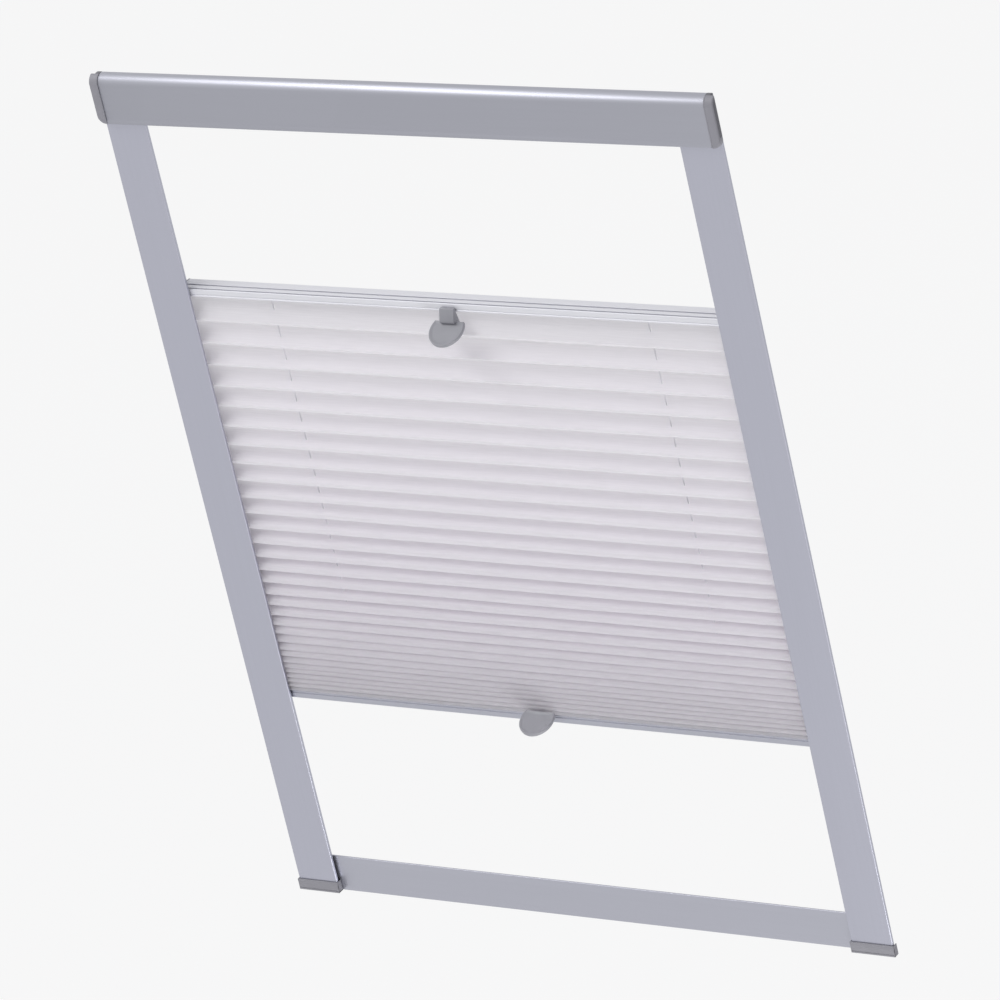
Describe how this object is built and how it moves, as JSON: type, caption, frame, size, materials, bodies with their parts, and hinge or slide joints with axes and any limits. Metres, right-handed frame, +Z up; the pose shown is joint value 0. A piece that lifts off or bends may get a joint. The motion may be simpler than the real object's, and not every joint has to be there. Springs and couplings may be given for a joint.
{
  "type": "skylight window blind",
  "caption": "Pleated blind for a roof window: a cloth between two rails that slide on side rails under a head box, with round finger tabs.",
  "frame": {"origin": "middle of the head rail's back face, which bears on the sash", "axes": "+Z up along the side rails, -Y towards the room, +X to the right seen from the room"},
  "size_m": [0.6052, 0.0451, 0.7906],
  "materials": {
    "anodised_aluminium": "satin anodised",
    "pale_aluminium": "pale satin coat",
    "grey_plastic": "fine moulded",
    "pale_plastic": "moulded",
    "zinc_steel": "zinc plated",
    "polyester": "fine plain weave, pleated",
    "cord": "braided"
  },
  "bodies": {
    "frame": {"head_rail": "anodised_aluminium", "head_cover": "anodised_aluminium", "bottom_bar": "anodised_aluminium", "side_rail_left": "anodised_aluminium", "head_cap_left": "grey_plastic", "foot_cap_left": "grey_plastic", "top_corner_left": "pale_plastic", "bottom_corner_left": "pale_plastic", "cord_anchor_left": "zinc_steel", "cord_spring_left": "zinc_steel", "head_screw_left": "zinc_steel", "bar_screw_left": "zinc_steel", "cord_top_left": "cord", "cord_cloth_left": "cord", "cord_bottom_left": "cord", "side_rail_right": "anodised_aluminium", "head_cap_right": "grey_plastic", "foot_cap_right": "grey_plastic", "top_corner_right": "pale_plastic", "bottom_corner_right": "pale_plastic", "cord_anchor_right": "zinc_steel", "cord_spring_right": "zinc_steel", "head_screw_right": "zinc_steel", "bar_screw_right": "zinc_steel", "cord_top_right": "cord", "cord_cloth_right": "cord", "cord_bottom_right": "cord", "pleated_cloth": "polyester"},
    "upper_rail_set": {"upper_rail": "pale_aluminium", "upper_cloth_strip": "pale_plastic", "upper_handle": "grey_plastic", "upper_slider_left": "pale_plastic", "upper_cord_guide_left": "grey_plastic", "cord_upper_left": "cord", "upper_slider_right": "pale_plastic", "upper_cord_guide_right": "grey_plastic", "cord_upper_right": "cord"},
    "lower_rail_set": {"lower_rail": "pale_aluminium", "lower_cloth_strip": "pale_plastic", "lower_handle": "grey_plastic", "lower_slider_left": "pale_plastic", "lower_cord_guide_left": "grey_plastic", "cord_lower_left": "cord", "lower_slider_right": "pale_plastic", "lower_cord_guide_right": "grey_plastic", "cord_lower_right": "cord"}
  },
  "joints": [
    {"name": "upper_rail_slide", "type": "slide", "parent": "frame", "child": "upper_rail_set", "axis": [0, 0, 1], "range_m": [-0.15, 0.14], "deforming": ["pleated_cloth", "cord_cloth_left", "cord_cloth_right", "cord_top_left", "cord_top_right"]},
    {"name": "lower_rail_slide", "type": "slide", "parent": "frame", "child": "lower_rail_set", "axis": [0, 0, 1], "range_m": [-0.153, 0.15], "deforming": ["pleated_cloth", "cord_cloth_left", "cord_cloth_right", "cord_bottom_left", "cord_bottom_right"]}
  ]
}
